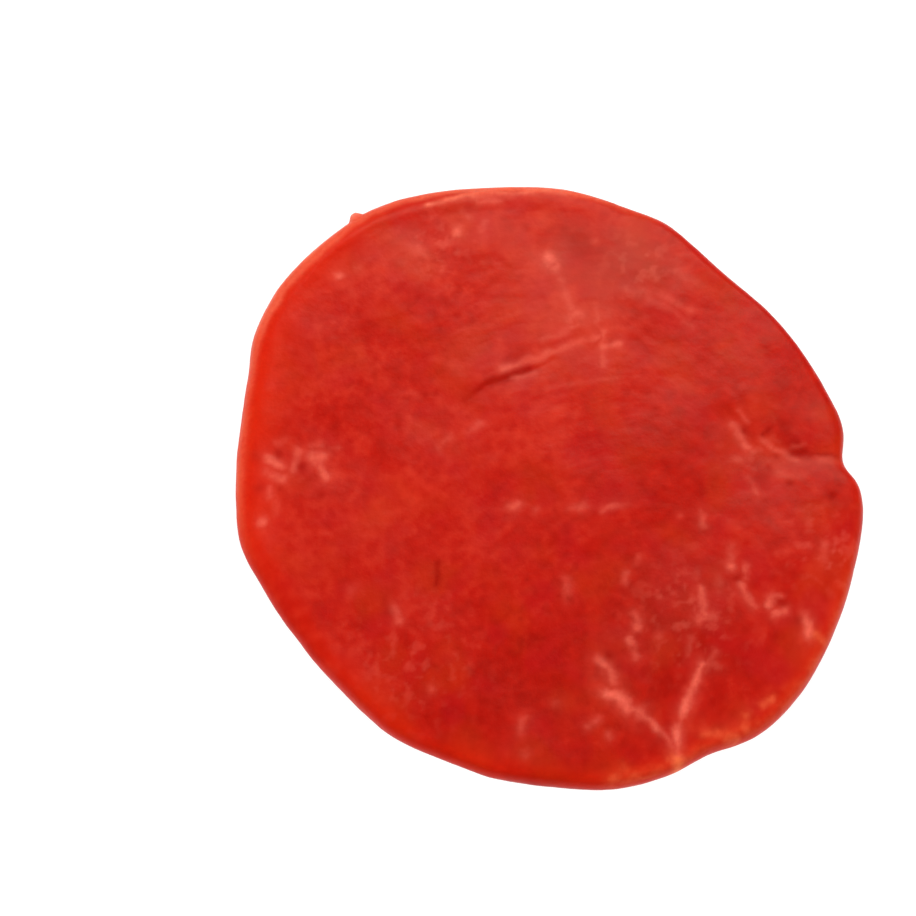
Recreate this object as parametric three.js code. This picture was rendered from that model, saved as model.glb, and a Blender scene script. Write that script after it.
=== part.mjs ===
// One thin-cut slice of lean raw beef, lying flat on its underside.
// Millimetres, +X to the right, +Y to the back and +Z up. The origin is on the table, under the middle.
// The cut face swells and sinks a little, dips along the seams between muscles, and rolls over at the rim.

import * as THREE from "three";
import { mergeVertices } from "three/addons/utils/BufferGeometryUtils.js";

// Driving dimensions of the whole slice
const WIDTH = 124;
const DEPTH = 128;
const THICKNESS = 5;

// The edge, seen in section: it stands out furthest low down, with a larger round above than below. Above it
// is broadest at the back left, where the slice hangs over softly.
const WIDEST_HEIGHT = 1.9;
const FOOT_ROUND = 1.2;
const SHOULDER_ROUND = 2;
const DRAPED_SHOULDER_ROUND = 5.2;
const DRAPED_SIDE = THREE.MathUtils.degToRad(155);

// How much the rounds grow and shrink on their way round, and how often
const EDGE_UNEVENNESS = 0.22;
const EDGE_WAVES = [3, 7, 11];

// How finely the slice is faceted: rows of facets across each face, and up the edge
const ROWS_ACROSS = 56;
const ROWS_UP = 6;
const RIM_SAMPLES = 2880;

// The rim, anticlockwise from the notch at the right, where the long muscle ends and the lower lobe steps
// out. It bulges and dips too freely for arcs, so it runs as a curve through the places where it bends.
const RIM = [
  [59, 1], [59.5, 8.5], [57.5, 15.5], [52.5, 25.5], [45.5, 35.5], [35.5, 45.5],
  [25.5, 55.5], [20.5, 58], [10.5, 62], [5, 63.5], [0, 64], [-10, 64],
  [-27, 62], [-33, 60], [-38, 57.5], [-47, 50], [-55, 40.5], [-59.5, 30],
  [-60.5, 20], [-61.5, 10], [-62, 0], [-61, -10], [-58, -20], [-55.5, -25],
  [-50.5, -32.5], [-45, -39.5], [-40, -45], [-35, -50], [-30, -54], [-20, -58.5],
  [-10, -62], [0, -63.5], [10, -64], [18, -62.5], [22.5, -61], [27, -58.5],
  [30, -57], [35, -55.5], [40, -53], [45.5, -48], [51, -40.5], [56, -30.5],
  [59.5, -20.5], [62, -10], [62, -5], [61.5, -3],
];

// The seams between muscles: where each one runs, how deep it dips and how far its sides reach
const SEAMS = [
  { path: [[-17, 14], [-10.5, 18.5], [-5, 20.5], [2.5, 24], [11, 26]], depth: 0.3, reach: 2.6 },
  { path: [[37, 10], [40, 4.5], [47, 3], [59.5, 1.5]], depth: 0.4, reach: 2.4 },
  { path: [[35, -18], [37, -25], [43, -29.5], [49, -33], [54, -39]], depth: 0.4, reach: 2.4 },
  { path: [[9, -40.5], [11.5, -44.5], [16.5, -49.5], [22, -55.5], [23.5, -61]], depth: 0.5, reach: 2.4 },
  { path: [[30, -39], [28, -41], [25, -48], [23.5, -53], [23.5, -61]], depth: 0.5, reach: 2.4 },
];
const SEAM_STEPS = 24;

// The broad swells of the cut face: their height, their wavelengths along X and Y, and their phase
const SWELLS = [
  { height: 0.38, alongX: 118, alongY: 150, phase: 0.7 },
  { height: 0.26, alongX: 74, alongY: -96, phase: 2.1 },
  { height: 0.16, alongX: -46, alongY: 41, phase: 4.4 },
  { height: 0.09, alongX: 27, alongY: 33, phase: 1.3 },
];

// The roll of thin membrane just inside the rim, along the back and the left
const ROLL_HEIGHT = 0.45;
const ROLL_INSET = 3.4;
const ROLL_REACH = 1.8;
const ROLL_SIDE = THREE.MathUtils.degToRad(130);

// The rim as a smooth closed curve, stretched so that its box is WIDTH by DEPTH with its middle at 0, 0
function makeRim() {
  const curve = new THREE.CatmullRomCurve3(
    RIM.map(([x, y]) => new THREE.Vector3(x, y, 0)),
    true,
    "centripetal",
  );
  const points = curve.getPoints(RIM_SAMPLES);
  const box = new THREE.Box3().setFromPoints(points);
  const middle = box.getCenter(new THREE.Vector3());
  const size = box.getSize(new THREE.Vector3());
  const stretch = new THREE.Vector3(WIDTH / size.x, DEPTH / size.y, 1);
  return points.map((point) => point.sub(middle).multiply(stretch));
}

// How far the rim lies from the middle, for each direction round it
function makeReach(rim) {
  const spokes = rim
    .map((point) => ({ angle: Math.atan2(point.y, point.x), reach: Math.hypot(point.x, point.y) }))
    .sort((a, b) => a.angle - b.angle);
  const first = spokes[0];
  const last = spokes[spokes.length - 1];
  spokes.unshift({ angle: last.angle - 2 * Math.PI, reach: last.reach });
  spokes.push({ angle: first.angle + 2 * Math.PI, reach: first.reach });
  return (angle) => {
    let low = 0;
    let high = spokes.length - 1;
    while (high - low > 1) {
      const between = (low + high) >> 1;
      if (spokes[between].angle <= angle) low = between;
      else high = between;
    }
    const share = THREE.MathUtils.inverseLerp(spokes[low].angle, spokes[high].angle, angle);
    return THREE.MathUtils.lerp(spokes[low].reach, spokes[high].reach, share);
  };
}

const reachAt = makeReach(makeRim());

const seamLines = SEAMS.map(({ path, depth, reach }) => {
  const curve = new THREE.CatmullRomCurve3(path.map(([x, y]) => new THREE.Vector3(x, y, 0)));
  return { points: curve.getPoints(SEAM_STEPS), depth, reach };
});

// A bell that is 1 at its middle and falls off over the given reach
function bell(distance, reach) {
  return Math.exp(-((distance / reach) ** 2));
}

// How much a direction belongs to one side of the slice: 1 towards it, 0 from a right angle to it onwards
function sideShare(angle, side) {
  return Math.max(0, Math.cos(angle - side)) ** 1.5;
}

// How much wider or narrower than usual the edge's rounds are, in one direction
function edgeUnevenness(angle) {
  const waves = EDGE_WAVES.map((count) => Math.sin(count * angle + count) / EDGE_WAVES.length);
  return 1 + EDGE_UNEVENNESS * waves.reduce((sum, wave) => sum + wave, 0);
}

function shoulderAt(angle) {
  const even = THREE.MathUtils.lerp(SHOULDER_ROUND, DRAPED_SHOULDER_ROUND, sideShare(angle, DRAPED_SIDE));
  return even * edgeUnevenness(angle);
}

// How far the cut face stands above or below its even height
function relief(x, y) {
  const here = new THREE.Vector3(x, y, 0);
  const angle = Math.atan2(y, x);
  let height = 0;
  for (const swell of SWELLS) {
    const turns = x / swell.alongX + y / swell.alongY;
    height += swell.height * Math.sin(2 * Math.PI * turns + swell.phase);
  }
  for (const seam of seamLines) {
    const distance = Math.min(...seam.points.map((point) => point.distanceTo(here)));
    height -= seam.depth * bell(distance, seam.reach);
  }
  const fromRim = reachAt(angle) - Math.hypot(x, y);
  height += ROLL_HEIGHT * bell(fromRim - ROLL_INSET, ROLL_REACH) * sideShare(angle, ROLL_SIDE);
  return height;
}

// Where a point of a square block goes: across and along run from -1 to 1, and up from 0 to 1.
// The square is rounded out to a disc, and the disc's edge follows the rim.
function place(across, along, up) {
  const u = across * Math.sqrt(1 - along ** 2 / 2);
  const v = along * Math.sqrt(1 - across ** 2 / 2);
  const angle = Math.atan2(v, u);
  const outward = Math.hypot(u, v);
  const onEdge = Math.max(Math.abs(across), Math.abs(along)) === 1;
  const inner = onEdge ? 1 : outward;
  const tilt = (up - 0.5) * Math.PI;
  const isAbove = tilt > 0;
  const round = isAbove ? shoulderAt(angle) : FOOT_ROUND * edgeUnevenness(angle);
  const rise = isAbove ? THICKNESS - WIDEST_HEIGHT : WIDEST_HEIGHT;
  const distance = inner * (reachAt(angle) - round * (1 - Math.cos(tilt)));
  const x = distance * Math.cos(angle);
  const y = distance * Math.sin(angle);
  const level = WIDEST_HEIGHT + rise * Math.sin(tilt);
  return new THREE.Vector3(x, y, level * (1 + relief(x, y) / THICKNESS));
}

// The underside is flat, so its inner points all go to its middle, which leaves a fan out to its edge.
function placeUnderside(across, along) {
  const onEdge = Math.max(Math.abs(across), Math.abs(along)) === 1;
  return onEdge ? place(across, along, 0) : new THREE.Vector3(0, 0, 0);
}

function triangleArea(a, b, c) {
  return new THREE.Triangle(a, b, c).getArea();
}

// Splits a four-sided facet along the diagonal whose smaller triangle is the larger of the two choices,
// and leaves out what has no area.
function splitFacet(corners, vertices) {
  const [a, b, c, d] = corners;
  const choices = [
    [[a, b, d], [b, c, d]],
    [[a, b, c], [a, c, d]],
  ];
  const areasOf = (pair) => pair.map((triangle) => triangleArea(...triangle.map((i) => vertices[i])));
  const smallest = choices.map((pair) => Math.min(...areasOf(pair)));
  const largest = choices.map((pair) => Math.max(...areasOf(pair)));
  const isEven = smallest[0] === smallest[1];
  const pick = isEven ? Number(largest[1] < largest[0]) : Number(smallest[1] > smallest[0]);
  return choices[pick].filter((triangle) => triangleArea(...triangle.map((i) => vertices[i])) > 1e-6);
}

function makeSlice() {
  const block = new THREE.BoxGeometry(2, 2, 1, ROWS_ACROSS, ROWS_ACROSS, ROWS_UP);
  const position = block.getAttribute("position");
  const underside = block.groups[5];
  const undersideEnd = underside.start + underside.count;
  const undersideCorners = new Set(block.index.array.slice(underside.start, undersideEnd));
  const vertices = [];
  for (let i = 0; i < position.count; i++) {
    const across = position.getX(i);
    const along = position.getY(i);
    const up = position.getZ(i) + 0.5;
    vertices.push(undersideCorners.has(i) ? placeUnderside(across, along) : place(across, along, up));
  }
  const triangles = [];
  for (let i = 0; i < block.index.count; i += 6) {
    const [a, b, d, , c] = block.index.array.slice(i, i + 6);
    triangles.push(...splitFacet([a, b, c, d], vertices));
  }
  const slice = new THREE.BufferGeometry().setFromPoints(vertices);
  slice.setIndex(triangles.flat());
  const merged = mergeVertices(slice, 1e-4);
  merged.computeVertexNormals();
  return merged;
}

const beef = new THREE.MeshStandardMaterial({ color: 0xb5261c, roughness: 0.35, metalness: 0 });
const steak = new THREE.Mesh(makeSlice(), beef);
steak.name = "steak";

const group = new THREE.Group();
group.add(steak);

export default group;
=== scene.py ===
# %% [markdown]
# A slice of thin-cut beef
#
# The real thing is one slice across a lean muscle of the leg, about 5 mm thick, laid flat with its cut face up.
# Its shape is simple, so all of its character is in the surface: the meat's grain, a few seams where muscles
# meet, thin veins of fat, a rim of membrane, and a moist sheen over the lot.
#
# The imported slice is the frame. It gives the true outline, thickness and main dips. This script makes a finer
# slice over it, cuts the small relief into that, and builds the finish of raw meat from nodes.

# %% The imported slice
import math

import bmesh
import bpy
import numpy as np
from mathutils import Euler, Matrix
from mathutils import Vector
from mathutils import noise


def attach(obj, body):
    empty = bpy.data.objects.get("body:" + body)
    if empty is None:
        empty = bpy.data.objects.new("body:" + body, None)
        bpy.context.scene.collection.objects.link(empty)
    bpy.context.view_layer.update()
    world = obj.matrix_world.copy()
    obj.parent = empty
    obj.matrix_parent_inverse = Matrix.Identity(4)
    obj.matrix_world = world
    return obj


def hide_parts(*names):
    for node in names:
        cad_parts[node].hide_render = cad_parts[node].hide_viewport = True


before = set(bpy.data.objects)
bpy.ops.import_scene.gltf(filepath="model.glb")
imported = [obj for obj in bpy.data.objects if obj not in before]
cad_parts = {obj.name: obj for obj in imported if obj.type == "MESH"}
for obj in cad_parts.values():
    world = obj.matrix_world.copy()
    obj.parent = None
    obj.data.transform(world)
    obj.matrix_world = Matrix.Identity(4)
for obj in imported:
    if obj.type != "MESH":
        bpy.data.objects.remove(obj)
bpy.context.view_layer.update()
MM = 0.001
packed_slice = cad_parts["steak"]

# %% [markdown]
# The camera
#
# The photograph looks steeply down at the meat, so the cut face fills the view and only a sliver of the front
# edge shows. A long lens keeps the outline free of perspective. The slice lies right of the middle of the
# frame, where it lies in the photograph, so the two pictures can be laid over each other.

# %% The camera
ELEVATION = math.radians(68)
LENS_MM = 80
SENSOR_MM = 36
CAMERA_DISTANCE = 404.5 * MM
LOOK_AT = Vector((-17.8, 2.7, 2.4)) * MM
TILT = Euler((math.pi / 2 - ELEVATION, 0, 0))
EYE = LOOK_AT + Vector((0, -math.cos(ELEVATION), math.sin(ELEVATION))) * CAMERA_DISTANCE


def make_camera():
    """Adds the camera, which looks along +Y and down."""
    data = bpy.data.cameras.new("camera")
    data.lens = LENS_MM
    data.sensor_width = SENSOR_MM
    data.clip_start = 0.01
    camera = bpy.data.objects.new("camera", data)
    camera.location = EYE
    camera.rotation_euler = TILT
    bpy.context.scene.collection.objects.link(camera)
    bpy.context.scene.camera = camera
    return camera


camera = make_camera()
print("camera stands, mm:", [round(v / MM) for v in camera.location])

# %% [markdown]
# Colours and nodes
#
# Every colour here is written as the hex value that a colour picker would show, and one function turns it
# into the linear numbers that the shaders want. One more function adds a node with its settings and links, so
# a material reads as a list of steps. The Standard view transform keeps the deep reds of raw meat, which a
# film-like transform would wash out to orange.

# %% Colours and nodes
def linear(code, alpha=1.0):
    """Turns an sRGB hex colour into linear red, green, blue and alpha."""
    channels = [int(code[i:i + 2], 16) / 255 for i in (1, 3, 5)]
    return [c / 12.92 if c <= 0.04045 else ((c + 0.055) / 1.055) ** 2.4 for c in channels] + [alpha]


def add(tree, kind, settings=None, links=None):
    """Adds one node: settings go to its input sockets or its own options, and links come from other outputs."""
    node = tree.nodes.new(kind)
    for name, value in (settings or {}).items():
        if isinstance(name, int) or name in node.inputs:
            node.inputs[name].default_value = value
        else:
            setattr(node, name, value)
    for name, source in (links or {}).items():
        tree.links.new(source, node.inputs[name])
    return node


def new_material(name):
    """Makes an empty node material and returns it with its node tree."""
    material = bpy.data.materials.new(name)
    material.use_nodes = True
    material.node_tree.nodes.clear()
    return material, material.node_tree


scene = bpy.context.scene
scene.view_settings.view_transform = "Standard"
scene.view_settings.look = "None"

# %% [markdown]
# The table and the light
#
# The photograph is lit softly, as by a window behind the meat. That light does two things: it brightens the
# whole face, and its reflection lies as a pale sheen over the half that is further away. A softbox behind does
# both. One on either side fills in the shade, and leaves no reflection of its own, because the rolled edge would
# mirror it as a grey stripe. The room itself gives only a little light, because white light from all round would
# lie on wet meat as a pink haze. For the same reason the board is grey, and glows to look white: a truly white
# one would throw more light at the edge, and the meat would tint it pink all round.

# %% The table and the light
TABLE_SIZE = 3.0
TABLE_COLOUR = "#808080"
TABLE_GLOW = 0.94
BACKGROUND = "#fbfbfa"
ROOM_LIGHT = 0.22
SOFTBOXES = {
    "window": {"place": (0.05, 0.37, 0.46), "size": (0.38, 0.20), "watts": 3.0, "colour": "#fff6ea"},
    "fill_left": {"place": (-0.60, -0.22, 0.42), "size": (0.60, 0.40), "watts": 3.8, "colour": "#fffdf8"},
    "fill_right": {"place": (0.60, -0.28, 0.42), "size": (0.60, 0.40), "watts": 3.1, "colour": "#fffdf8"},
}
MIRRORED = ["window"]


def make_table():
    """Adds the board that the slice lies on. Its glow makes it look white and washes out the soft shadow."""
    shape = bmesh.new()
    bmesh.ops.create_grid(shape, x_segments=1, y_segments=1, size=TABLE_SIZE / 2)
    mesh = bpy.data.meshes.new("table")
    shape.to_mesh(mesh)
    shape.free()
    table = bpy.data.objects.new("table", mesh)
    scene.collection.objects.link(table)
    material, tree = new_material("matt white melamine board")
    shader = add(tree, "ShaderNodeBsdfPrincipled", {
        "Base Color": linear(TABLE_COLOUR), "Roughness": 0.7,
        "Emission Color": linear(BACKGROUND), "Emission Strength": TABLE_GLOW})
    add(tree, "ShaderNodeOutputMaterial", links={"Surface": shader.outputs["BSDF"]})
    mesh.materials.append(material)
    return table


def make_softbox(name, place, size, watts, colour):
    """Adds a rectangular light that faces the slice."""
    data = bpy.data.lights.new(name, "AREA")
    data.shape = "RECTANGLE"
    data.size, data.size_y = size
    data.energy = watts
    data.color = linear(colour)[:3]
    light = bpy.data.objects.new(name, data)
    light.location = place
    light.rotation_euler = Vector(place).to_track_quat("Z", "Y").to_euler()
    light.visible_glossy = name in MIRRORED
    scene.collection.objects.link(light)
    return light


def make_room():
    """Makes a world that looks pale behind the table but lights the slice only weakly."""
    world = bpy.data.worlds.new("studio")
    world.use_nodes = True
    tree = world.node_tree
    tree.nodes.clear()
    seen = add(tree, "ShaderNodeBackground", {"Color": linear(BACKGROUND)})
    lit = add(tree, "ShaderNodeBackground", {"Color": linear(BACKGROUND), "Strength": ROOM_LIGHT})
    path = add(tree, "ShaderNodeLightPath")
    either = add(tree, "ShaderNodeMixShader", links={
        0: path.outputs["Is Camera Ray"], 1: lit.outputs[0], 2: seen.outputs[0]})
    add(tree, "ShaderNodeOutputWorld", links={"Surface": either.outputs[0]})
    return world


make_table()
for name, box in SOFTBOXES.items():
    make_softbox(name, **box)
scene.world = make_room()
print("softboxes:", list(SOFTBOXES))

# %% [markdown]
# A fine skin over the slice
#
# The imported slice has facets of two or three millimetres. They carry the outline and the seams, but the grain
# of meat is finer. A copy is joined back into four-sided faces and rounded by a Subdivision Surface, and a
# voxel remesh then gives it even faces of under half a millimetre, which small relief can be pressed into.
# Nothing is modelled twice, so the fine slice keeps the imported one's form.

# %% A fine skin over the slice
VOXEL = 0.42 * MM
JOIN_ANGLE = math.radians(40)


def joined_copy(node, name):
    """Copies a node's loose triangles, merges their corners and pairs them into four-sided faces."""
    shape = bmesh.new()
    shape.from_mesh(node.data)
    bmesh.ops.remove_doubles(shape, verts=shape.verts, dist=0.01 * MM)
    bmesh.ops.join_triangles(
        shape, faces=shape.faces, angle_face_threshold=JOIN_ANGLE, angle_shape_threshold=JOIN_ANGLE
    )
    mesh = bpy.data.meshes.new(name)
    shape.to_mesh(mesh)
    shape.free()
    piece = bpy.data.objects.new(name, mesh)
    scene.collection.objects.link(piece)
    return piece


def apply_modifiers(piece):
    """Puts what the modifiers make in place of the piece's mesh."""
    evaluated = piece.evaluated_get(bpy.context.evaluated_depsgraph_get())
    made = bpy.data.meshes.new_from_object(evaluated)
    piece.modifiers.clear()
    piece.data = made


slice_piece = joined_copy(packed_slice, "steak_slice")
rounding = slice_piece.modifiers.new("rounding", "SUBSURF")
rounding.levels = 2
rounding.render_levels = 2
even_faces = slice_piece.modifiers.new("even_faces", "REMESH")
even_faces.mode = "VOXEL"
even_faces.voxel_size = VOXEL
apply_modifiers(slice_piece)
print("fine skin:", len(slice_piece.data.vertices), "points")

# %% [markdown]
# Reading the skin as numbers
#
# The relief and the colours both depend on where a point lies: how far in from the rim, how near a seam, which
# way the meat's fibres run there. These are worked out once for all points, in millimetres, as arrays.

# %% Reading the skin as numbers
def as_rows(items, attribute):
    """Reads a three-number attribute of many items into an array with one row each."""
    values = np.empty(len(items) * 3, dtype=np.float32)
    items.foreach_get(attribute, values)
    return values.reshape(-1, 3).astype(float)


def smooth_step(low, high, values):
    """Rises smoothly from 0 at low to 1 at high."""
    share = np.clip((values - low) / (high - low), 0, 1)
    return share * share * (3 - 2 * share)


def bell(distance, reach):
    """Is 1 at distance 0 and falls off over the given reach."""
    return np.exp(-((distance / reach) ** 2))


def noise_field(places, grain, seed):
    """Gives smooth noise between about -1 and 1 at each place, with lumps of the given size in mm."""
    offset = Vector((seed * 17.3, seed * 5.1, seed * 9.7))
    return np.array([noise.noise(Vector(place) / grain + offset) for place in places.tolist()])


places = as_rows(slice_piece.data.vertices, "co") / MM
facing = as_rows(slice_piece.data.vertex_normals, "vector")
on_face = smooth_step(0.2, 0.75, facing[:, 2])
off_table = smooth_step(0.35, 1.5, places[:, 2])
print("skin runs from", places.min(0).round(1), "to", places.max(0).round(1))

# %% [markdown]
# The way in from the rim
#
# Membrane, fat and the vivid band all follow the rim, and each is strong on one side and weak on another. How
# far the rim lies in each direction is read off the skin itself, as the furthest point in each of many narrow
# sectors. How strong a thing is on its way round is a short table from direction to share.

# %% The way in from the rim
SECTORS = 480

direction = np.arctan2(places[:, 1], places[:, 0])
radius = np.hypot(places[:, 0], places[:, 1])
sector = ((direction + math.pi) / (2 * math.pi) * SECTORS).astype(int) % SECTORS
furthest = np.zeros(SECTORS)
np.maximum.at(furthest, sector, radius)
sector_middles = (np.arange(SECTORS) + 0.5) / SECTORS * 2 * math.pi - math.pi
from_rim = np.interp(direction, sector_middles, furthest, period=2 * math.pi) - radius


def share_round(table):
    """Reads a table from direction in degrees to share, and gives every point its share."""
    return np.interp(np.degrees(direction), list(table), list(table.values()), period=360)


print("furthest rim point, mm:", round(float(furthest.max()), 1))

# %% [markdown]
# The grain
#
# Muscle is bundles of fibres. The knife leaves the bundles as soft blotches that are longer along the fibres
# than across, and the fibres as faint streaks on them. They run towards the front in the lower half of this
# slice and swing round to the right above the middle seam. A point's streak value is the average of noise along
# a short line in the fibres' direction there, which draws the noise out into streaks that follow the bend.

# %% The grain
GRAIN_GUIDES = {
    (0, -45): 90, (-25, -30): 98, (30, -35): 86, (-45, 5): 75, (-22, 8): 58, (-10, -15): 60, (10, -9): 12,
    (0, 12): 14, (38, 10): -55, (42, -6): -48, (28, 35): -22, (0, 26): 19, (-25, 45): 38, (0, 56): -3,
}
GUIDE_REACH = 15.0
STREAKS = {
    "bundles": {"width": 2.2, "length": 3.6, "samples": 4, "seed": 3},
    "fibres": {"width": 0.9, "length": 2.8, "samples": 4, "seed": 4},
}


def grain_direction(places):
    """Blends the guides into one fibre direction for each place. A fibre has no front or back end."""
    turn = np.zeros((len(places), 2))
    for (x, y), degrees in GRAIN_GUIDES.items():
        weight = bell(np.hypot(places[:, 0] - x, places[:, 1] - y), GUIDE_REACH) + 1e-6
        doubled = 2 * math.radians(degrees)
        turn += weight[:, None] * np.array([math.cos(doubled), math.sin(doubled)])
    angle = np.arctan2(turn[:, 1], turn[:, 0]) / 2
    return np.stack([np.cos(angle), np.sin(angle), np.zeros(len(angle))], axis=1)


def draw_streaks(places, along, width, length, samples, seed):
    """Averages noise along the grain, and stretches the result back to about -1 to 1."""
    total = np.zeros(len(places))
    for step in np.linspace(-length / 2, length / 2, samples):
        total += noise_field(places + along * step, width, seed)
    return np.clip(total / total.std() / 2, -1.5, 1.5)


along = grain_direction(places)
streaks = {name: draw_streaks(places, along, **how) for name, how in STREAKS.items()}
print("streaks:", {name: round(float(values.std()), 2) for name, values in streaks.items()})

# %% [markdown]
# Strokes of fat
#
# Lean beef has little fat, and each thread of it counts for the likeness: a vein that forks like a Y near the
# front, the pale lips of the middle seam, a fold that runs into the notch at the right, a broken chain behind it,
# and small flecks. A stroke is its half-width in mm, its strength, and the points that it runs through, of which
# a fleck has only one. The points were read off the photograph, in its pixels, and one function follows
# the camera's line of sight through a pixel down to the cut face.

# %% Where a pixel meets the cut face
PHOTO_SIDE = 916
CUT_FACE_MM = 5.0


def on_cut_face(pixel):
    """Finds the place, in mm, where the line of sight through a pixel meets the cut face."""
    across, down = ((value / PHOTO_SIDE - 0.5) * SENSOR_MM / LENS_MM for value in pixel)
    sight = Vector((across, -down, -1))
    sight.rotate(TILT)
    eye = EYE / MM
    place = eye + sight * (CUT_FACE_MM - eye.z) / sight.z
    return place.x, place.y


print("middle of the photograph, mm:", [round(v, 1) for v in on_cut_face((PHOTO_SIDE / 2, PHOTO_SIDE / 2))])

# %% Strokes of fat
FAT = {
    "fork": [
        (0.9, 0.8, [(600, 658), (608, 668), (614, 681)]),
        (1.1, 0.85, [(606, 693), (620, 697), (629, 708)]),
        (1.1, 0.9, [(640, 711)]),
        (0.6, 0.7, [(632, 708), (645, 716), (658, 728), (670, 741), (677, 750)]),
        (0.75, 0.8, [(702, 664), (696, 680), (688, 700)]),
        (0.75, 1.0, [(688, 700), (681, 718), (677, 738), (679, 755)]),
        (1.1, 0.6, [(700, 665)]),
        (0.6, 0.4, [(706, 664), (716, 652)]),
        (0.6, 0.35, [(712, 662), (718, 668)]),
    ],
    "chain": [
        (0.7, 0.45, [(730, 546), (731, 560)]),
        (0.9, 0.8, [(731, 567)]),
        (0.6, 0.45, [(745, 566), (746, 578)]),
        (0.6, 0.6, [(741, 584), (746, 596), (755, 608)]),
        (0.8, 0.7, [(770, 599), (769, 606)]),
        (0.5, 0.4, [(772, 598), (781, 597)]),
        (0.8, 0.7, [(776, 614), (786, 612)]),
        (0.8, 0.85, [(804, 616), (808, 626), (808, 635)]),
    ],
    "fold": [
        (0.7, 0.6, [(734, 424), (741, 436), (748, 446)]),
        (0.5, 0.3, [(739, 410), (748, 422)]),
        (0.6, 0.3, [(752, 450), (761, 449)]),
        (0.6, 0.4, [(760, 438), (772, 446)]),
        (0.7, 0.5, [(777, 449), (787, 454), (798, 460)]),
        (1.0, 0.2, [(800, 460), (818, 460), (838, 461)]),
        (1.2, 0.35, [(777, 474), (792, 476)]),
        (1.0, 0.35, [(738, 460)]),
        (0.6, 0.3, [(748, 478), (758, 494)]),
        (0.6, 0.3, [(795, 446), (803, 443)]),
    ],
    "seam": [
        (0.8, 0.6, [(503, 370), (520, 365), (545, 357)]),
        (0.8, 0.5, [(540, 357), (560, 350), (580, 343), (598, 338)]),
        (0.6, 0.5, [(512, 378), (522, 376), (534, 374)]),
        (0.9, 0.3, [(544, 341), (560, 336), (572, 329)]),
        (1.0, 0.5, [(568, 320), (578, 315)]),
        (0.6, 0.6, [(603, 333), (604, 342)]),
        (0.8, 0.95, [(604, 347)]),
        (0.6, 0.55, [(607, 347), (619, 345)]),
        (0.6, 0.5, [(603, 352), (603, 367)]),
        (0.6, 0.2, [(545, 390), (580, 384), (620, 378)]),
        (0.5, 0.25, [(595, 305), (598, 320)]),
        (0.8, 0.3, [(468, 434), (480, 424)]),
        (0.7, 0.35, [(440, 448), (450, 436)]),
    ],
    "back": [
        (1.4, 0.95, [(549, 258)]),
        (1.1, 0.6, [(555, 268)]),
        (0.8, 0.35, [(560, 280), (567, 298), (570, 310)]),
        (0.9, 0.9, [(457, 233)]),
        (0.6, 0.35, [(461, 228), (450, 243)]),
        (1.2, 0.35, [(412, 248), (422, 254)]),
        (0.8, 0.35, [(463, 213), (468, 218)]),
        (0.8, 0.65, [(339, 276)]),
        (0.7, 0.35, [(358, 270)]),
        (0.6, 0.4, [(478, 204), (500, 202)]),
        (0.6, 0.3, [(482, 232), (485, 222)]),
        (0.8, 0.35, [(594, 241)]),
    ],
    "back right": [
        (0.9, 0.25, [(628, 292), (650, 300), (672, 312), (692, 325)]),
        (0.9, 0.25, [(642, 292), (668, 300), (690, 312)]),
        (0.9, 0.25, [(676, 272), (696, 282)]),
    ],
    "left": [
        (0.8, 0.8, [(267, 457), (273, 462), (282, 466)]),
        (0.9, 0.7, [(268, 471), (275, 475), (281, 478)]),
        (0.7, 0.5, [(292, 468), (296, 460), (298, 450)]),
        (0.7, 0.25, [(283, 440), (277, 443)]),
        (1.2, 0.95, [(313, 457), (319, 457)]),
        (0.8, 0.65, [(320, 463), (323, 470), (325, 476)]),
        (0.8, 0.3, [(312, 444), (322, 443)]),
        (0.6, 0.2, [(330, 446), (338, 446)]),
        (0.8, 0.4, [(270, 487), (270, 494)]),
        (0.7, 0.25, [(277, 500), (276, 511)]),
        (0.9, 0.7, [(262, 521)]),
    ],
    "middle": [
        (0.9, 0.45, [(511, 507), (518, 504)]),
        (0.7, 0.25, [(535, 511)]),
        (1.1, 0.3, [(572, 508), (582, 507)]),
        (0.6, 0.4, [(602, 512), (612, 507), (626, 505)]),
        (0.6, 0.3, [(680, 517)]),
        (0.7, 0.5, [(702, 514), (702, 524)]),
        (0.8, 0.35, [(825, 545), (824, 560)]),
    ],
    "front": [
        (0.6, 0.5, [(701, 588), (702, 600), (704, 614)]),
        (0.9, 0.45, [(700, 620), (712, 618)]),
        (0.6, 0.3, [(696, 572), (696, 580)]),
        (0.8, 0.35, [(718, 575), (720, 590)]),
        (0.8, 0.55, [(636, 616), (637, 628)]),
        (0.7, 0.55, [(630, 638), (635, 650), (636, 658)]),
        (0.6, 0.3, [(626, 572), (625, 582)]),
        (0.6, 0.25, [(639, 556), (636, 565)]),
        (0.9, 0.3, [(566, 580), (568, 597)]),
        (0.9, 0.25, [(660, 637)]),
        (0.6, 0.3, [(690, 640), (689, 655)]),
        (0.9, 0.4, [(523, 719), (520, 731)]),
        (0.7, 0.4, [(600, 718), (590, 727)]),
        (0.8, 0.3, [(608, 735)]),
        (0.8, 0.25, [(525, 752)]),
        (0.8, 0.25, [(557, 704)]),
    ],
    "front left": [
        (0.9, 0.4, [(394, 608), (399, 620)]),
        (0.8, 0.3, [(432, 690)]),
        (0.9, 0.3, [(350, 590)]),
    ],
}
TALLOW = {
    "notch": [
        (1.1, 1.0, [(679, 759), (679, 767)]),
        (0.7, 0.3, [(669, 760)]),
    ],
    "front right": [
        (0.9, 0.45, [(706, 733), (722, 735)]),
        (1.0, 0.7, [(728, 738), (735, 738)]),
        (0.8, 0.65, [(747, 716), (746, 729)]),
        (0.8, 0.4, [(758, 722)]),
        (0.7, 0.4, [(762, 706), (772, 698)]),
    ],
    "chain end": [(0.7, 0.55, [(817, 634), (824, 642)])],
    "front": [(0.8, 0.45, [(612, 780), (618, 775), (625, 770)])],
}
CURVE_STEPS = 6


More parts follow.
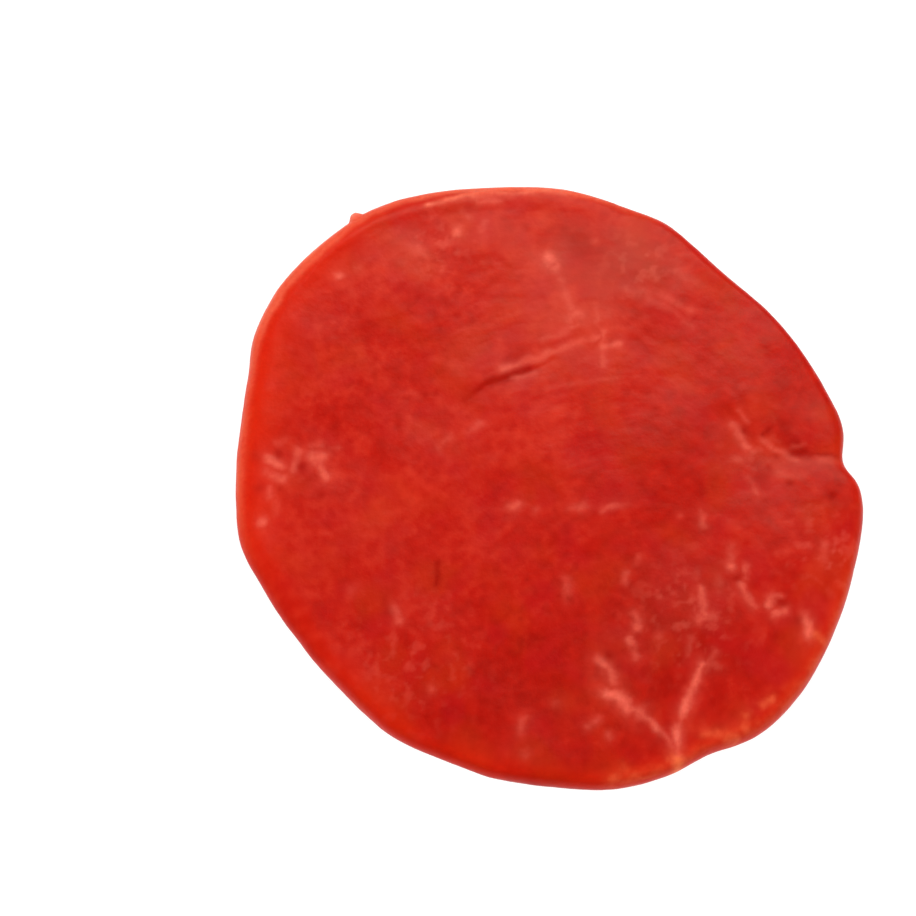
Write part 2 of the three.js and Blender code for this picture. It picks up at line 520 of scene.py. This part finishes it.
def smooth_path(path):
    """Runs a rounded line through the points of a path, and returns its points."""
    corners = np.array([path[0], *path, path[-1]], dtype=float)
    line = []
    for before, start, end, after in zip(corners, corners[1:], corners[2:], corners[3:]):
        for share in np.arange(CURVE_STEPS) / CURVE_STEPS:
            bend = (2 * before - 5 * start + 4 * end - after) * share**2
            twist = (3 * start - before - 3 * end + after) * share**3
            line.append(start + 0.5 * ((end - before) * share + bend + twist))
    return np.array(line + [corners[-1]])


def distance_to(path, places):
    """Gives each place's distance, seen from above and in mm, to a path of pixels or to a single one."""
    path = [on_cut_face(pixel) for pixel in path]
    line = smooth_path(path) if len(path) > 1 else np.array(path * 2, dtype=float)
    nearest = np.full(len(places), np.inf)
    for start, end in zip(line, line[1:]):
        step = end - start
        share = np.clip(((places[:, :2] - start) @ step) / max(step @ step, 1e-9), 0, 1)
        nearest = np.minimum(nearest, np.hypot(*(places[:, :2] - start - share[:, None] * step).T))
    return nearest


# %% [markdown]
# Soft brush work
#
# Fat fills the gaps between bundles, so no stroke has a clean border. Noise frays its sides and lets it swell and
# thin out, and it fades from its middle line to nothing. The same brush paints shade: dark strokes stand in for
# the shade in the open slit of the middle seam, under the fold, beneath the loose strands at the back, and in the
# small hollows where a bundle has pulled back.

# %% Soft brush work
# Painted shade: dark strokes in the slit of the middle seam, under the fold and the strands, and in hollows.
SHADE_STROKES = {
    "seam": [
        (1.0, 0.5, [(466, 399), (478, 389), (488, 383)]),
        (1.2, 0.8, [(488, 382), (499, 380), (508, 378)]),
        (0.8, 0.8, [(508, 377), (517, 373), (528, 371)]),
        (0.9, 0.5, [(508, 361), (519, 358)]),
    ],
    "fold": [
        (1.1, 1.0, [(796, 452), (804, 452)]),
        (0.5, 0.6, [(808, 453), (836, 455)]),
        (0.8, 0.8, [(798, 441)]),
        (0.7, 0.75, [(770, 428), (764, 433)]),
        (0.7, 0.75, [(745, 430)]),
        (1.0, 0.7, [(785, 425)]),
        (0.7, 0.75, [(776, 456)]),
        (0.7, 0.6, [(770, 468)]),
        (0.8, 0.6, [(790, 482)]),
        (0.7, 0.8, [(832, 495)]),
    ],
    "chain": [(0.7, 0.7, [(782, 604)]), (0.9, 0.7, [(736, 579)]), (0.9, 0.6, [(798, 620)])],
    "fork": [(1.0, 0.85, [(608, 655)]), (0.9, 0.5, [(660, 735)]), (0.8, 0.5, [(640, 725)])],
    "back": [
        (2.4, 0.3, [(580, 245), (594, 250)]),
        (1.2, 0.3, [(420, 292)]),
        (1.0, 0.25, [(450, 305)]),
        (1.0, 0.25, [(466, 275)]),
        (0.9, 0.35, [(448, 214), (470, 210)]),
        (0.7, 0.35, [(610, 342)]),
    ],
    "left": [
        (0.8, 0.6, [(277, 453)]),
        (0.9, 0.7, [(302, 466)]),
        (0.8, 0.55, [(322, 494)]),
        (0.8, 0.4, [(280, 488)]),
        (1.2, 0.35, [(256, 455)]),
        (1.0, 0.4, [(258, 487)]),
        (0.6, 0.4, [(424, 394), (434, 393)]),
    ],
    "front": [
        (0.6, 0.8, [(437, 562), (437, 583)]),
        (0.8, 0.5, [(384, 597), (388, 612)]),
        (0.8, 0.35, [(600, 559)]),
        (0.8, 0.4, [(627, 560)]),
        (0.7, 0.35, [(601, 588)]),
        (0.8, 0.3, [(614, 632)]),
        (0.7, 0.4, [(430, 662), (438, 668)]),
        (1.3, 0.35, [(442, 738)]),
        (0.9, 0.3, [(478, 692)]),
        (1.1, 0.3, [(770, 545)]),
    ],
}
FRAY = 0.32
WOBBLE = 0.3
HALO = 0.25
HALO_WIDTH = 2.4


def brush(groups, places, fray):
    """Lays down all strokes of some groups, and gives each place the share of the strongest one there."""
    laid = np.zeros(len(places))
    for strokes in groups.values():
        for half_width, strength, path in strokes:
            outside = np.maximum(0, distance_to(path, places) + fray)
            share = (1 - HALO) * bell(outside, half_width) + HALO * bell(outside, HALO_WIDTH * half_width)
            laid = np.maximum(laid, share * strength)
    return laid


fray = FRAY * (noise_field(places, 2.2, seed=5) + 0.8 * noise_field(places, 1.0, seed=6))
patchy = np.clip(0.95 + 0.7 * noise_field(places, 2.4, seed=9), 0.45, 1.25)
crooked = places.copy()
crooked[:, 0] += WOBBLE * noise_field(places, 1.5, seed=15)
crooked[:, 1] += WOBBLE * noise_field(places, 1.5, seed=16)
fat = brush(FAT, crooked, fray) * patchy * on_face
tallow = brush(TALLOW, crooked, fray) * patchy
painted_shade = brush(SHADE_STROKES, crooked, fray) * on_face
print("share of the skin under fat:", round(float((fat > 0.3).mean()), 3))

# %% [markdown]
# Clouds of fine flecks
#
# In some places the fat is too fine to draw thread by thread, and shows as a cloud of specks: at the left, in the
# lobe at the right, round the fork and above the seam. A cloud is a place, a reach in mm and a strength, and
# noise breaks it up.

# %% Clouds of fine flecks
CLOUDS = {
    "left": ((-50, 0.5), 6.0, 0.12),
    "fold": ((43, 3), 6.0, 0.2),
    "lobe": ((53, -18), 8.0, 0.3),
    "fork": ((26, -31), 11.0, 0.28),
    "back right": ((20, 44), 8.0, 0.25),
    "above the seam": ((8, 31), 7.0, 0.18),
    "back left": ((-22, 48), 8.0, 0.25),
    "front left": ((-26, -40), 12.0, 0.2),
}

# Clouds of dark pits go into the same field: painted shade in small hollows.
PIT_SHADE_CLOUDS = {
    "front": ((6, -32), 30.0, 0.4),
    "left": ((-36, 18), 16.0, 0.3),
    "back left": ((-22, 38), 12.0, 0.35),
}


def cloud_of(clouds, specks):
    """Gives each place its share of the strongest cloud there, broken up into specks."""
    share = np.zeros(len(places))
    for (x, y), cloud_reach, strength in clouds.values():
        near = bell(np.hypot(places[:, 0] - x, places[:, 1] - y), cloud_reach)
        share = np.maximum(share, near * strength)
    return share * specks * on_face


specks = smooth_step(0.05, 0.6, noise_field(places, 2.0, seed=7) + 0.5 * noise_field(places, 1.0, seed=8))
pits = smooth_step(0.15, 0.6, noise_field(places, 2.4, seed=13) + 0.5 * noise_field(places, 1.2, seed=14))
fat = np.maximum(fat, cloud_of(CLOUDS, specks))
painted_shade = np.maximum(painted_shade, cloud_of(PIT_SHADE_CLOUDS, pits))
print("clouds:", list(CLOUDS))

# %% [markdown]
# The rim
#
# A thin sheet of membrane wraps the muscle, and where the knife went through it, it shows as a pale bead round
# the back and the left, with two loose strands at the back. The bead is partly painted highlight: it is strongest
# where light from behind and the left catches the rim. Down the wall of the slice it is torn, so it covers the
# meat only in patches there. Inside the bead, a vivid band is painted light: its colour stands in for light that
# shines through the thin meat there, which is free of sheen, and it is broad at the left. Along the front and the
# right, a film of fat takes the bead's place, and the band is narrow.

# %% The rim
# The bead's share by direction is partly painted highlight: strongest where light from behind and the left catches
# the rim.
BEAD = {
    0: 0.0, 60: 0.1, 74: 0.5, 86: 1.0, 105: 0.95, 122: 0.65, 135: 0.65, 150: 0.75, 164: 0.35, 182: 0.35,
    195: 0.05, 205: 0.0,
}
BEAD_WIDTH = {60: 0.5, 90: 1.9, 105: 1.6, 120: 2.1, 136: 2.6, 150: 2.1, 165: 1.0, 182: 1.2, 196: 0.8, 208: 0.4}
BEAD_REACH = 0.8
ROLL_INSET = 1.2
ROLL_REACH = 0.8
ROLL_HEIGHT = 0.2
# The vivid band is painted light: a brighter, purer red where light shines through the thin rim, broad at the left.
GLOW_BAND = {
    0: 0.1, 30: 0.05, 75: 0.1, 110: 0.2, 128: 0.9, 180: 0.95, 195: 0.8, 208: 0.3, 225: 0.5, 240: 0.65, 258: 0.6,
    270: 0.3, 285: 0.9, 300: 0.7, 315: 0.7, 330: 0.5, 345: 0.2,
}
GLOW_BAND_INSET = 1.2
GLOW_BAND_REACH = {
    0: 1.8, 100: 1.8, 125: 4.5, 140: 7.0, 155: 7.0, 170: 7.0, 188: 7.5, 205: 4.5, 225: 3.5, 240: 3.0, 270: 1.8,
}
RIM_FAT = {
    0: 0.05, 20: 0.0, 122: 0.0, 135: 0.6, 150: 0.4, 165: 0.3, 182: 0.4, 195: 0.1, 205: 0.0, 278: 0.0,
    284: 0.45, 290: 0.35, 300: 0.2, 315: 0.4, 330: 0.35, 345: 0.1,
}
RIM_FAT_REACH = 1.8
WALL_FACING = (0.3, 0.55)
WALL_SHARE = 0.5
STRANDS = {
    "back": [
        (0.6, 0.75, [(428, 206), (442, 203), (458, 198), (475, 194), (492, 192)]),
        (0.5, 0.6, [(492, 192), (512, 193), (533, 191), (550, 190), (566, 193)]),
        (0.9, 0.6, [(474, 195), (490, 192)]),
    ],
}
STRAND_HEIGHT = 0.15
BUMP_PLACE = (-39, 56, 3.2)
BUMP_SIZES = (0.3, 2.0)
BUMP_HEIGHT = 1.2

wander = 0.2 * noise_field(places, 5.0, seed=11)
swelling = 1 + 0.25 * noise_field(places, 3.5, seed=12)
upward = smooth_step(*WALL_FACING, facing[:, 2])
torn = np.clip(0.5 + noise_field(places, 6.0, seed=17) + 0.6 * noise_field(places, 1.6, seed=18), 0, 1)
on_wall = upward + (1 - upward) * WALL_SHARE * torn
beyond_bead = np.maximum(0, from_rim - share_round(BEAD_WIDTH) * swelling + wander)
bead = bell(beyond_bead, BEAD_REACH) * share_round(BEAD) * off_table * on_wall
roll = bell(from_rim - ROLL_INSET + wander, ROLL_REACH) * share_round(BEAD)
beyond_glow_band = np.maximum(0, from_rim - GLOW_BAND_INSET + wander)
glow_band = bell(beyond_glow_band, share_round(GLOW_BAND_REACH)) * share_round(GLOW_BAND)
tallow = np.maximum(tallow, bell(from_rim + 2 * fray, RIM_FAT_REACH) * share_round(RIM_FAT) * patchy * on_wall)
bump = 1 - smooth_step(*BUMP_SIZES, np.linalg.norm(places - BUMP_PLACE, axis=1))
strand = brush(STRANDS, places, fray) * patchy * on_face
# This field holds real membrane and the painted highlight of the bead.
membrane_and_highlight = np.clip(np.maximum(bead * (0.95 + 0.4 * fray), strand), 0, 1)
pale = np.clip((0.2 + 0.9 * upward) * bump + 0.3 * strand, 0, 1)
print("share of the skin under membrane:", round(float((membrane_and_highlight > 0.4).mean()), 3))

# %% [markdown]
# Light, shade and tone in the meat
#
# Lean meat is never one red. Broad blotches vary it, and finer ones come from the bundles. The broad blotches
# are partly the meat's own tone and partly painted light and shade: they lift the left side and lower the right
# side and much of the front, as the light falls there, and a lighter blotch just behind the middle is a painted
# sheen. Both go into one number for each point, its tone: 0.5 is the usual red, less is deeper and more is
# brighter. A blotch is a place, a reach in mm and how far it lifts or lowers the tone.

# %% Light and dark in the meat
# Painted light and shade among these: the lifts at the left, the lowered right and front, and the painted sheen at
# (-0.5, 10).
TONE_AND_LIGHT_BLOTCHES = [
    ((-0.5, 10), 9, 0.22), ((5, 47), 7, -0.22), ((-3, -50), 20, -0.26), ((24, -3), 13, -0.2),
    ((-9, 52), 12, 0.1), ((28, -35), 16, -0.24), ((8, 32), 9, 0.06), ((46, 12), 24, -0.14),
    ((-43, 19), 8, 0.2), ((-49, -20), 9, 0.14), ((-31, -7), 8, 0.18), ((-8, -33), 8, 0.16), ((19, 42), 7, -0.14),
]
TONE_NOISE = [(18.0, 0.10), (6.0, 0.18), (3.0, 0.22), (1.6, 0.20)]
BUNDLE_TONE = 0.05
FIBRE_TONE = 0.03
HUE_NOISE = {"warm": (9.0, 41), "crimson": (6.0, 42)}
# The dull places at the back are partly painted sheen: a duller red where the sheen of juice lies there.
HUE_PLACES = {
    "warm": [((9, -48), 7, 0.8), ((6, 32), 9, 1.0), ((-4, 47), 7, 0.6), ((5, 23), 7, 1.0)],
    "dull_and_sheen": [((17, 45), 8, 0.8), ((6, 50), 4, 0.8), ((22, -28), 9, 0.45)],
}

tone = np.full(len(places), 0.5)
for (x, y), blotch_reach, lift in TONE_AND_LIGHT_BLOTCHES:
    tone += lift * bell(np.hypot(places[:, 0] - x, places[:, 1] - y), blotch_reach)
for seed, (grain, weight) in enumerate(TONE_NOISE, start=30):
    tone += weight * noise_field(places, grain, seed)
tone += BUNDLE_TONE * streaks["bundles"] + FIBRE_TONE * streaks["fibres"]
hues = {name: smooth_step(0, 0.5, noise_field(places, *how)) for name, how in HUE_NOISE.items()}
for name, spots in HUE_PLACES.items():
    for (x, y), hue_reach, share in spots:
        near = bell(np.hypot(places[:, 0] - x, places[:, 1] - y), hue_reach)
        hues[name] = np.maximum(hues.get(name, 0), share * near)
print("tone runs from", round(float(tone.min()), 2), "to", round(float(tone.max()), 2))

# %% [markdown]
# The lip of the middle seam
#
# Where the two muscles in the middle have come apart, the one behind lies a little over the one in front. So the
# seam isn't a groove but a step: the face rises behind the slit and falls off steeply in front of it. The steep
# side turns away from the window, which darkens the slit, and painted shade in the slit darkens it further.

# %% The lip of the middle seam
LIP_EDGE = [(462, 401), (478, 389), (492, 382), (508, 377), (530, 370), (562, 354)]
LIP_HEIGHT = 0.3
LIP_STEEPNESS = 0.25
LIP_REACH = 5.5
LIP_FADE = 5.0


def lip_share(path, places):
    """Gives each place its share of the lip: full just behind the path, and fading to the back and the ends."""
    line = smooth_path([on_cut_face(pixel) for pixel in path])
    behind = places[:, 1] - np.interp(places[:, 0], line[:, 0], line[:, 1])
    from_ends = np.minimum(places[:, 0] - line[0, 0], line[-1, 0] - places[:, 0])
    rise = smooth_step(-LIP_STEEPNESS, LIP_STEEPNESS, behind) * bell(np.maximum(0, behind), LIP_REACH)
    return rise * smooth_step(0, LIP_FADE, from_ends) * on_face


lip = lip_share(LIP_EDGE, crooked)
print("share of the skin under the lip:", round(float((lip > 0.3).mean()), 3))

# %% [markdown]
# Pressing the relief in
#
# All the small heights are added up and each point moves along its own normal: broad lumps that break up the
# sheen, the bundles and fibres, veins that stand a little proud, slits that go in, and the bead, strands and
# bump of the rim. Near the table the heights fade out, so the underside stays flat.

# %% Pressing the relief in
LUMPS = [(9.0, 0.16), (4.2, 0.07), (1.9, 0.03), (0.9, 0.015)]
BUNDLE_HEIGHT = 0.015
FIBRE_HEIGHT = 0.01
FAT_HEIGHT = 0.06
DARK_DEPTH = 0.06

height = np.zeros(len(places))
for seed, (grain, swell) in enumerate(LUMPS, start=20):
    height += swell * noise_field(places, grain, seed)
height += (BUNDLE_HEIGHT * streaks["bundles"] + FIBRE_HEIGHT * streaks["fibres"]) * on_face
height += FAT_HEIGHT * np.minimum(fat, 0.6) - DARK_DEPTH * painted_shade
height += ROLL_HEIGHT * roll + BUMP_HEIGHT * bump + STRAND_HEIGHT * strand + LIP_HEIGHT * lip
pressed = places + facing * (height * off_table)[:, None]
underside = (facing[:, 2] < -0.7) & (places[:, 2] < 0.6)
pressed[underside, 2] = 0.0
slice_piece.data.vertices.foreach_set("co", (pressed * MM).astype(np.float32).ravel())
slice_piece.data.update()
print("relief, mm, from", round(float(height.min()), 2), "to", round(float(height.max()), 2))

# %% [markdown]
# Keeping the fields for the material
#
# What was worked out for the relief also steers the colour, so each field is stored on the mesh as an
# attribute that the material can read by name.

# %% Keeping the fields for the material
FIELDS = {
    "tone": tone, "fat": fat, "tallow": tallow, "painted_shade": painted_shade, "membrane_and_highlight": membrane_and_highlight, "pale": pale, "glow_band": glow_band,
    **hues,
}
for name, values in FIELDS.items():
    field = slice_piece.data.attributes.new(name, "FLOAT", "POINT")
    field.data.foreach_set("value", values.astype(np.float32))
slice_piece.data.polygons.foreach_set("use_smooth", [True] * len(slice_piece.data.polygons))
print("fields:", list(FIELDS))

# %% [markdown]
# Raw beef
#
# Lean beef is a deep translucent red. Red light goes a millimetre or two into it and comes back, which
# subsurface scattering gives, and a film of juice on top gives the soft wet sheen, which is the coat. The tone
# field, which carries some painted light and shade as well, picks the red from a ramp, with noise finer than the
# mesh added to it. Fat, membrane and the rest are laid over it as layers, each by its own field. Some layers are
# painted light and shade: the vivid band at the rim, the bead's highlight in the membrane, the dull patches of
# sheen at the back, and the dark of slits and hollows. Even the fat stays reddish, because it is thin here and the
# meat shows through.

# %% Raw beef
FINE_NOISE = {"crumb": (0.9, 0.20), "speck": (0.4, 0.10)}
REDS = {0.1: "#9a0b04", 0.5: "#ad140a", 0.9: "#bd291a"}
LAYERS = [
    ("warm", 0.35, "#b22a08"),
    ("crimson", 0.35, "#a80d16"),
    # A duller red, partly painted sheen at the back.
    ("dull_and_sheen", 0.6, "#932a1c"),
    # Painted light: the vivid red of light shining through the thin rim.
    ("glow_band", 0.9, "#c81f07"),
    ("fat", 0.9, "#d65c4c"),
    ("tallow", 0.9, "#e0643c"),
    # Membrane, with the bead's painted highlight.
    ("membrane_and_highlight", 0.9, "#da5f45"),
    ("pale", 0.9, "#e47c68"),
    # Painted shade in slits, creases and hollows.
    ("painted_shade", 0.9, "#8c0902"),
]
BREAK_UP_MM = 0.8
BREAK_UP = (0.85, 1.12)
SHEEN_MM = 4.5
ROUGHNESS = (0.32, 0.46)
DRY_SLITS = 0.4
WET_MM = 0.7
WET_DEPTH = 0.1 * MM


def make_beef():
    """Builds the finish of raw beef."""
    material, tree = new_material("moist raw lean beef")
    where = add(tree, "ShaderNodeTexCoord")
    in_mm = add(tree, "ShaderNodeMapping", {"Scale": (1 / MM,) * 3}, {"Vector": where.outputs["Object"]})
    tone = add(tree, "ShaderNodeAttribute", {"attribute_name": "tone"}).outputs["Fac"]
    for size, weight in FINE_NOISE.values():
        grains = add(tree, "ShaderNodeTexNoise", {"Scale": 1 / size}, {"Vector": in_mm.outputs["Vector"]})
        shift = add(tree, "ShaderNodeMath", {"operation": "SUBTRACT", 1: 0.5}, {0: grains.outputs["Fac"]})
        tone = add(
            tree, "ShaderNodeMath", {"operation": "MULTIPLY_ADD", 1: weight}, {0: shift.outputs[0], 2: tone}
        ).outputs[0]
    ramp = add(tree, "ShaderNodeValToRGB", links={"Fac": tone})
    stops = ramp.color_ramp.elements
    stops.new(0.5)
    for stop, (position, code) in zip(stops, REDS.items()):
        stop.position = position
        stop.color = linear(code)
    colour = ramp.outputs["Color"]
    crumbs = add(tree, "ShaderNodeTexNoise", {"Scale": 1 / BREAK_UP_MM}, {"Vector": in_mm.outputs["Vector"]})
    thin_to_thick = {"From Min": 0.3, "From Max": 0.7, "To Min": BREAK_UP[0], "To Max": BREAK_UP[1]}
    break_up = add(tree, "ShaderNodeMapRange", thin_to_thick, {"Value": crumbs.outputs["Fac"]})
    for name, strength, code in LAYERS:
        field = add(tree, "ShaderNodeAttribute", {"attribute_name": name})
        even = add(tree, "ShaderNodeMath", {"operation": "MULTIPLY", 1: strength}, {0: field.outputs["Fac"]})
        share = add(
            tree, "ShaderNodeMath", {"operation": "MULTIPLY", "use_clamp": True},
            {0: even.outputs[0], 1: break_up.outputs["Result"]},
        )
        colour = add(
            tree, "ShaderNodeMix", {"data_type": "RGBA", 7: linear(code)}, {0: share.outputs[0], 6: colour}
        ).outputs[2]
    film = add(tree, "ShaderNodeTexNoise", {"Scale": 1 / SHEEN_MM}, {"Vector": in_mm.outputs["Vector"]})
    wet_film = add(
        tree, "ShaderNodeMapRange", {"To Min": ROUGHNESS[0], "To Max": ROUGHNESS[1]}, {"Value": film.outputs["Fac"]}
    )
    slits = add(tree, "ShaderNodeAttribute", {"attribute_name": "painted_shade"})
    roughness = add(
        tree, "ShaderNodeMath", {"operation": "MULTIPLY_ADD", 1: DRY_SLITS},
        {0: slits.outputs["Fac"], 2: wet_film.outputs["Result"]},
    )
    wet = add(tree, "ShaderNodeTexNoise", {"Scale": 1 / WET_MM}, {"Vector": in_mm.outputs["Vector"]})
    bump = add(tree, "ShaderNodeBump", {"Strength": 0.35, "Distance": WET_DEPTH}, {"Height": wet.outputs["Fac"]})
    shader = add(
        tree,
        "ShaderNodeBsdfPrincipled",
        {
            "IOR": 1.38,
            "Specular IOR Level": 0.13,
            "Specular Tint": linear("#ffdcbc"),
            "Subsurface Weight": 0.3,
            "Subsurface Radius": (1.0, 0.16, 0.10),
            "Subsurface Scale": 1.2 * MM,
            "Coat Weight": 0.05,
            "Coat Roughness": 0.24,
            "Coat IOR": 1.34,
        },
        {"Base Color": colour, "Roughness": roughness.outputs[0], "Normal": bump.outputs["Normal"]},
    )
    add(tree, "ShaderNodeOutputMaterial", links={"Surface": shader.outputs["BSDF"]})
    return material


slice_piece.data.materials.clear()
slice_piece.data.materials.append(make_beef())
print("finish:", slice_piece.data.materials[0].name)

# %% [markdown]
# Closing the underside
#
# The underside lies flat on the table, and its thousands of small faces say nothing. They are dissolved into
# one, which leaves the faces for the side that shows.

# %% Closing the underside
def join_flat_underside(piece):
    """Dissolves the faces that lie flat on the table into one."""
    shape = bmesh.new()
    shape.from_mesh(piece.data)
    flat = [face for face in shape.faces if all(vertex.co.z == 0.0 for vertex in face.verts)]
    bmesh.ops.dissolve_faces(shape, faces=flat, use_verts=False)
    shape.to_mesh(piece.data)
    shape.free()


join_flat_underside(slice_piece)
triangles = sum(len(face.vertices) - 2 for face in slice_piece.data.polygons)
print("finished slice:", len(slice_piece.data.polygons), "faces,", triangles, "triangles")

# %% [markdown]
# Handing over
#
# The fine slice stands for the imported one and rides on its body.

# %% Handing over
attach(slice_piece, "root")
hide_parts("steak")
